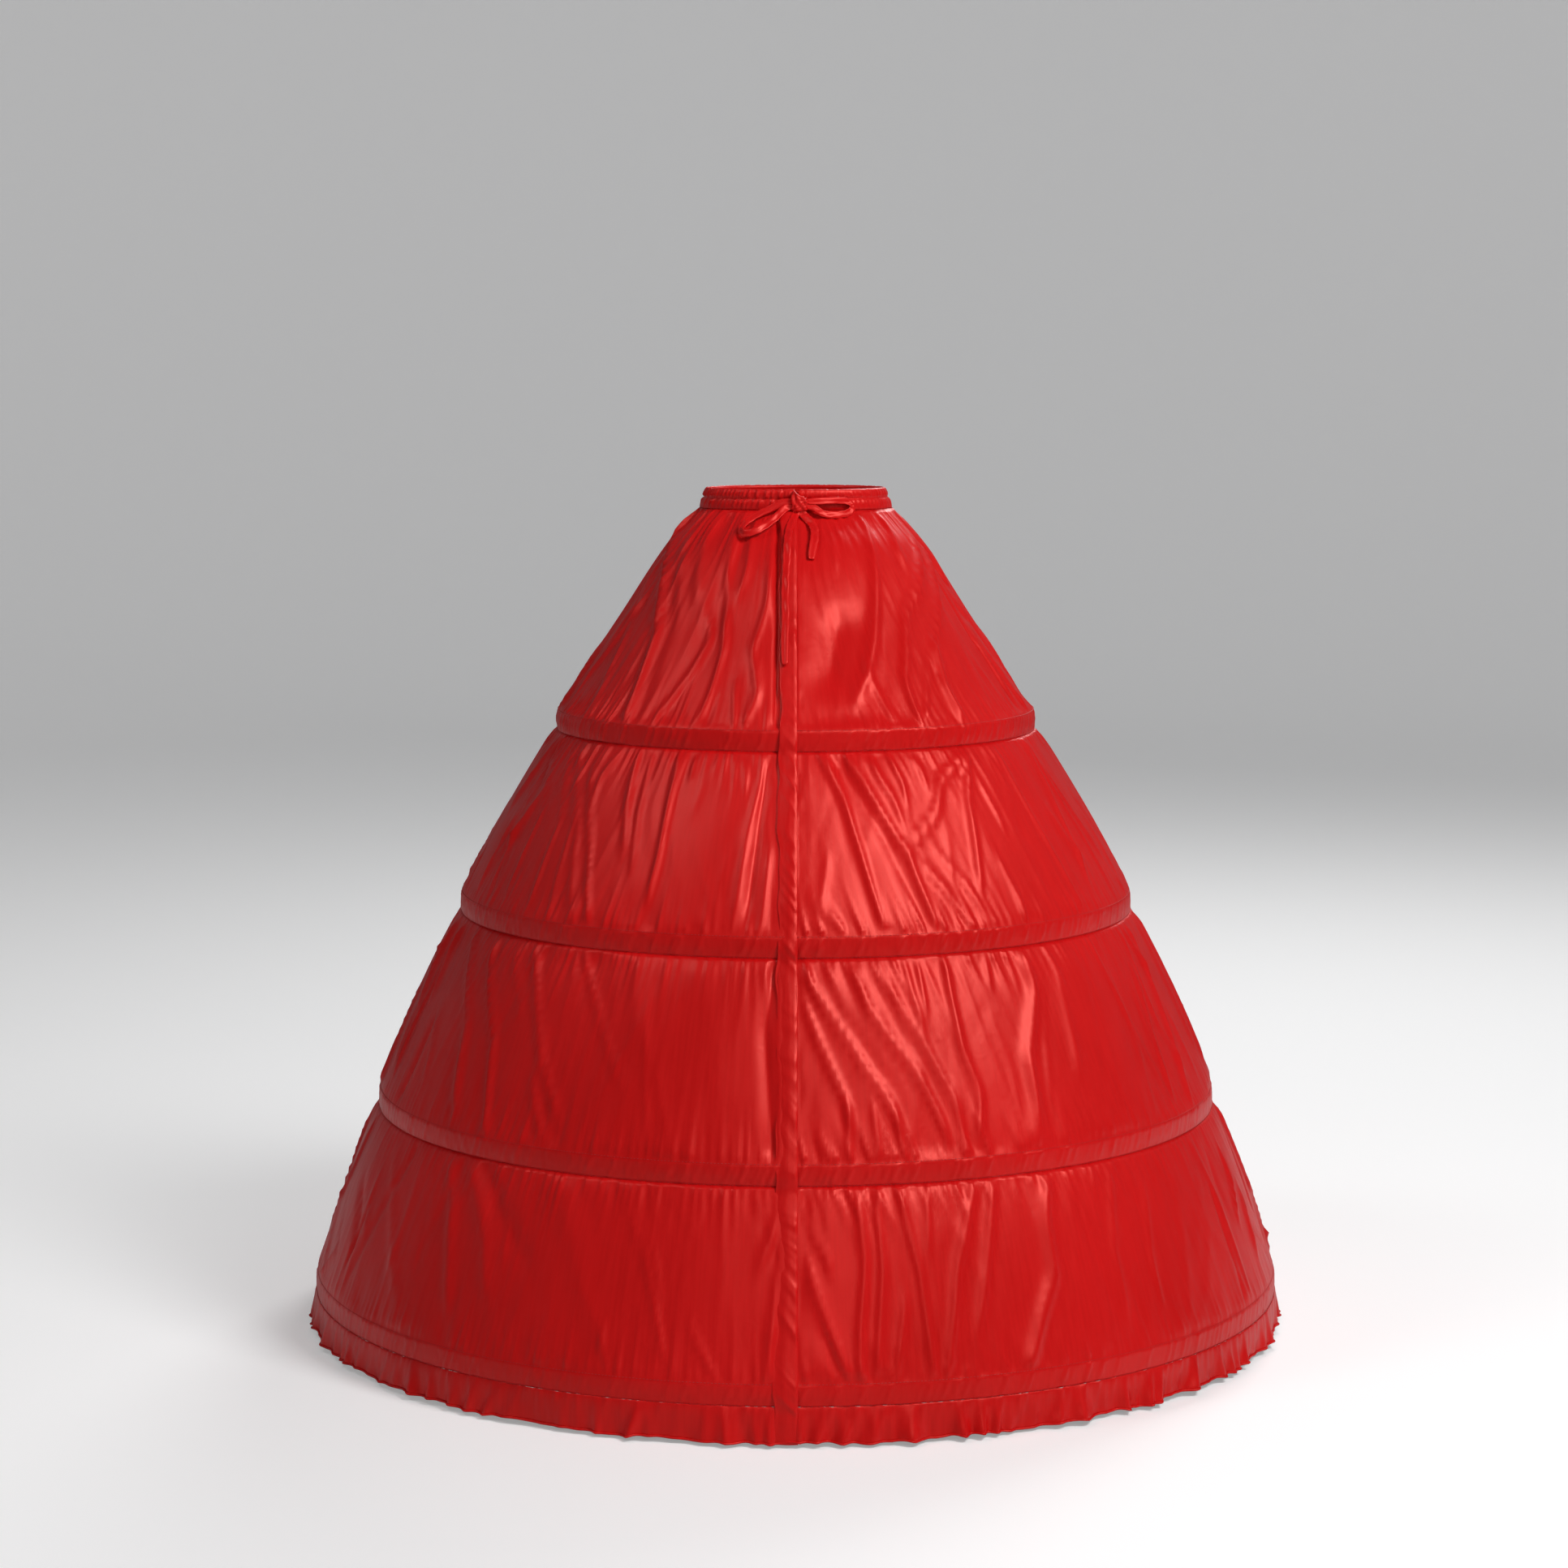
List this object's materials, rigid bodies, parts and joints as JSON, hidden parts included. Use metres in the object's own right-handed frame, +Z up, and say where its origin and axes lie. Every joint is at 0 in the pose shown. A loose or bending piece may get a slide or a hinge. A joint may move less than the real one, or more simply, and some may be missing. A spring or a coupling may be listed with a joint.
{
  "type": "hooped petticoat",
  "caption": "Full-length bell-shaped petticoat of red satin, held out by hoops sewn in channels, with gathered tiers, a hem ruffle and a drawstring waistband tied in a bow at the back.",
  "frame": {"origin": "centre of the waist opening, level with the top edge of the waistband", "axes": "+Z up out of the waist opening; -Y towards the centre back, where the drawstring is tied; +X to the right as the back is looked at"},
  "size_m": [1.1824, 1.1902, 1.0065],
  "materials": {
    "satin": "satin",
    "tie": "satin",
    "hoop": "satin",
    "sleeve": "satin"
  },
  "bodies": {
    "root": {"waistband": "satin", "tier_1_back_right": "satin", "tier_1_front_right": "satin", "tier_1_front_left": "satin", "tier_1_back_left": "satin", "tier_2_back_right": "satin", "tier_2_front_right": "satin", "tier_2_front_left": "satin", "tier_2_back_left": "satin", "tier_3_back_right": "satin", "tier_3_front_right": "satin", "tier_3_front_left": "satin", "tier_3_back_left": "satin", "tier_4_back_right": "satin", "tier_4_front_right": "satin", "tier_4_front_left": "satin", "tier_4_back_left": "satin", "casing_1": "satin", "casing_2": "satin", "casing_3": "satin", "casing_4": "satin", "hem_ruffle": "satin", "back_placket": "satin", "drawstring_run": "tie", "drawstring_knot": "tie", "bow_loop_left": "tie", "bow_loop_right": "tie", "bow_tail_left": "tie", "bow_tail_right": "tie", "hoop_1": "hoop", "hoop_2": "hoop", "hoop_3": "hoop", "hoop_4": "hoop", "hoop_sleeve_1": "sleeve", "hoop_sleeve_2": "sleeve", "hoop_sleeve_3": "sleeve", "hoop_sleeve_4": "sleeve"}
  },
  "joints": []
}
